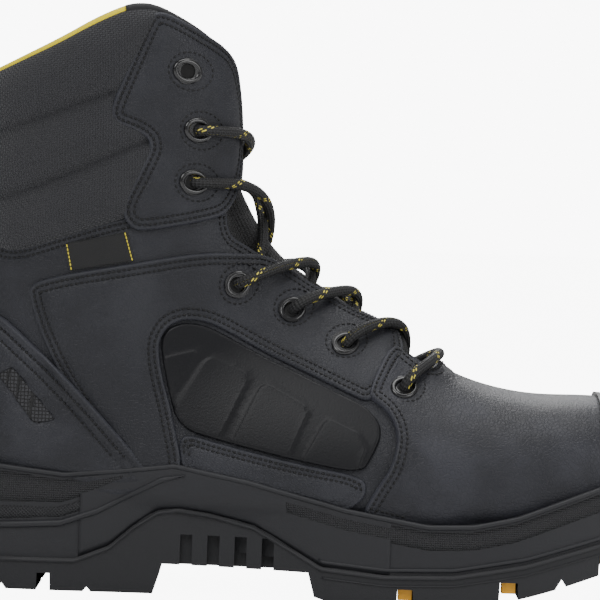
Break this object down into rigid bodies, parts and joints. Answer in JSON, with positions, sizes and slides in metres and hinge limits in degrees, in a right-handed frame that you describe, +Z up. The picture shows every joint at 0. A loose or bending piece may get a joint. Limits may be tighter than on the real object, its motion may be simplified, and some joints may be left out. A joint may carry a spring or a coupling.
{
  "type": "steel toe work boot",
  "caption": "Ankle-high lace-up safety boot for the right foot, with a steel toe cap, padded collar, hinged tongue and cleated sole.",
  "frame": {"origin": "on the ground under the middle of the boot's length and width", "axes": "+X towards the toe, +Y towards the medial side, +Z up"},
  "size_m": [0.3118, 0.1103, 0.2238],
  "materials": {
    "sole_rubber": "matt moulded rubber",
    "midsole_foam": "textured moulded foam",
    "grip_amber": "translucent amber rubber",
    "leather": "grained black leather",
    "moulded": "moulded overlay",
    "nylon": "ballistic woven nylon",
    "lining": "brushed yellow lining",
    "foam": "open cell foam",
    "steel": "plain steel",
    "board": "fibre board",
    "footbed": "brushed footbed cover",
    "eyelet": "black moulded eyelet",
    "cord": "round braided lace",
    "tip": "black lace tip",
    "label": "woven black label"
  },
  "bodies": {
    "root": {"outsole": "sole_rubber", "tread_inserts": "grip_amber", "midsole": "midsole_foam", "shank": "steel", "penetration_plate": "steel", "insole_board": "board", "footbed": "footbed", "toe_cap": "steel", "cap_edge_strip": "foam", "heel_counter": "board", "ankle_padding_lateral": "foam", "ankle_padding_medial": "foam", "collar_foam": "foam", "collar_cover": "nylon", "collar_lining": "lining", "foot_lining": "lining", "metatarsal_guard": "moulded", "vamp": "leather", "back_panel": "leather", "side_panel_lateral": "moulded", "side_panel_medial": "moulded", "side_strip_lateral": "leather", "side_strip_medial": "leather", "quarter_lateral": "leather", "quarter_medial": "leather", "facing_lateral": "leather", "facing_medial": "leather", "heel_guard": "leather", "toe_bumper": "leather", "label": "label", "eyelets_lateral": "eyelet", "eyelets_medial": "eyelet", "lace": "cord", "aglets": "tip"},
    "tongue": {"tongue": "nylon", "tongue_lining": "lining"}
  },
  "joints": [
    {"name": "tongue_hinge", "type": "hinge", "parent": "root", "child": "tongue", "pos_m": [0.049, 0, 0.0735], "axis": [0, 1, 0], "range_deg": [-3, 0], "stiffness_Nm_per_rad": 0.5}
  ]
}
